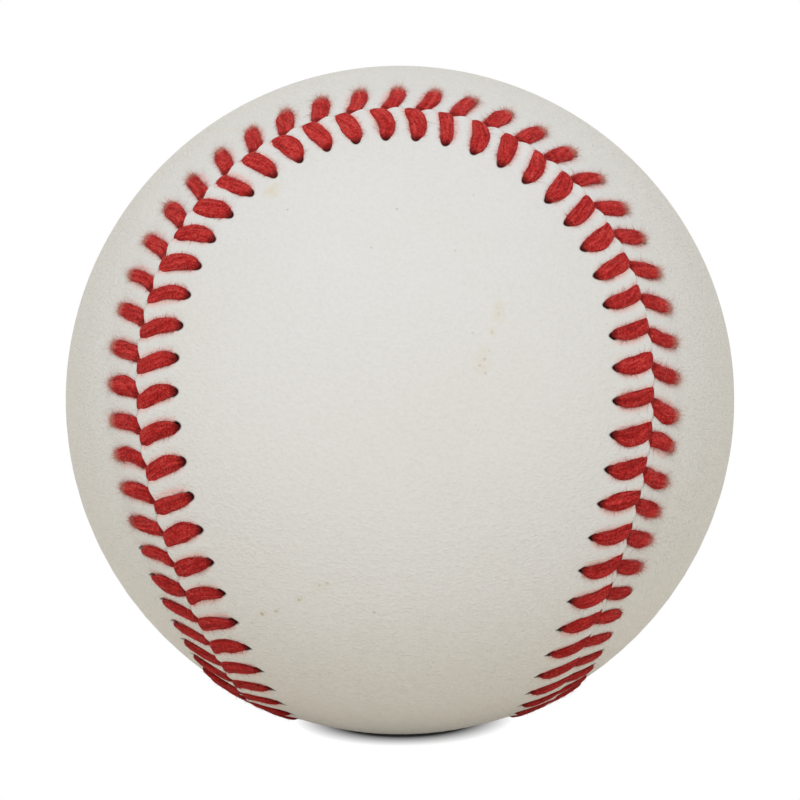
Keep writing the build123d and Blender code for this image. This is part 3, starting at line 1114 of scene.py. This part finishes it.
def buildStage():
    half = stage["floorSize"] / 2
    low = -ballRadius * mm
    mesh = bpy.data.meshes.new("floor")
    corners = [(-half, -half, low), (half, -half, low), (half, half, low), (-half, half, low)]
    mesh.from_pydata(corners, [], [(0, 1, 2, 3)])
    material, tree, shader = newMaterial("paleFloor")
    seen = seenRays(tree)
    values = {0: objectVector(tree), 1: (1.0, 1.0, 0.0), 2: (0.0, -stage["shadowBack"], 0.0)}
    level = addNode(tree, "ShaderNodeVectorMath", values, operation="MULTIPLY_ADD").outputs[0]
    far = addNode(tree, "ShaderNodeVectorMath", {0: level}, operation="LENGTH").outputs["Value"]
    # painted shadow: round the foot the floor's colour goes to black, for all rays
    under = rangeNode(far, stage["paintedShadowCore"], stage["paintedShadowReach"], 1.0, 0.0)
    tone = mixColour(under, mixColour(seen, stage["floorColour"], stage["floorSeen"]), (0.0, 0.0, 0.0))
    setInputs(shader, {"Base Color": tone, "Roughness": 0.9, "Specular IOR Level": 0.0})
    fade = product(rangeNode(far, stage["fadeStart"], stage["fadeEnd"]), seen)
    white = addNode(tree, "ShaderNodeEmission").outputs[0]
    blend = addNode(tree, "ShaderNodeMixShader", {0: fade, 1: shader.outputs[0], 2: white}).outputs[0]
    setInputs(tree.nodes["Material Output"], {"Surface": blend})
    mesh.materials.append(material)
    floor = bpy.data.objects.new("floor", mesh)
    scene.collection.objects.link(floor)
    world = bpy.data.worlds.new("studio")
    scene.world = world
    world.use_nodes = True
    tree = world.node_tree
    strength = rangeNode(seenRays(tree), 0.0, 1.0, stage["skyLight"], 1.0)
    setInputs(tree.nodes["Background"], {"Color": (1.0, 1.0, 1.0), "Strength": strength})


# place and width of each lamp in metres, and its power in watts; all are aimed at the ball
lamps = {
    "keyLight": ((-0.1, -1.0, 1.4), 0.6, 6.9),
    "frontFill": ((0.1, -1.9, -0.1), 1.0, 1.0),
}


def areaLight(name, place, size, power):
    lamp = bpy.data.lights.new(name, "AREA")
    lamp.shape = "DISK"
    lamp.size = size
    lamp.energy = power
    light = bpy.data.objects.new(name, lamp)
    light.location = place
    light.rotation_euler = (-Vector(place)).to_track_quat("-Z", "Y").to_euler()
    scene.collection.objects.link(light)


buildStage()
for name, settings in lamps.items():
    areaLight(name, *settings)
print("stage and lamps made")

# Camera at the photograph's viewing angle
view = {
    "azimuth": 1.24,
    "elevation": 9.88,
    "roll": -0.62,
    "distance": 10.4415,  # in ball radii
    "lens": 156.35,
}


# turned round z by the azimuth, tipped by the elevation, rolled, then moved straight back from the centre
def buildCamera():
    azimuth, elevation, roll = (np.radians(view[key]) for key in ("azimuth", "elevation", "roll"))
    turn = Matrix.Rotation(azimuth, 4, "Z") @ Matrix.Rotation(np.pi / 2 - elevation, 4, "X")
    turn = turn @ Matrix.Rotation(roll, 4, "Z")
    back = Matrix.Translation((0.0, 0.0, view["distance"] * ballRadius * mm))
    lens = bpy.data.cameras.new("camera")
    lens.lens = view["lens"]
    camera = bpy.data.objects.new("camera", lens)
    camera.matrix_world = turn @ back
    scene.collection.objects.link(camera)
    scene.camera = camera


buildCamera()
scene.view_settings.view_transform = "Standard"
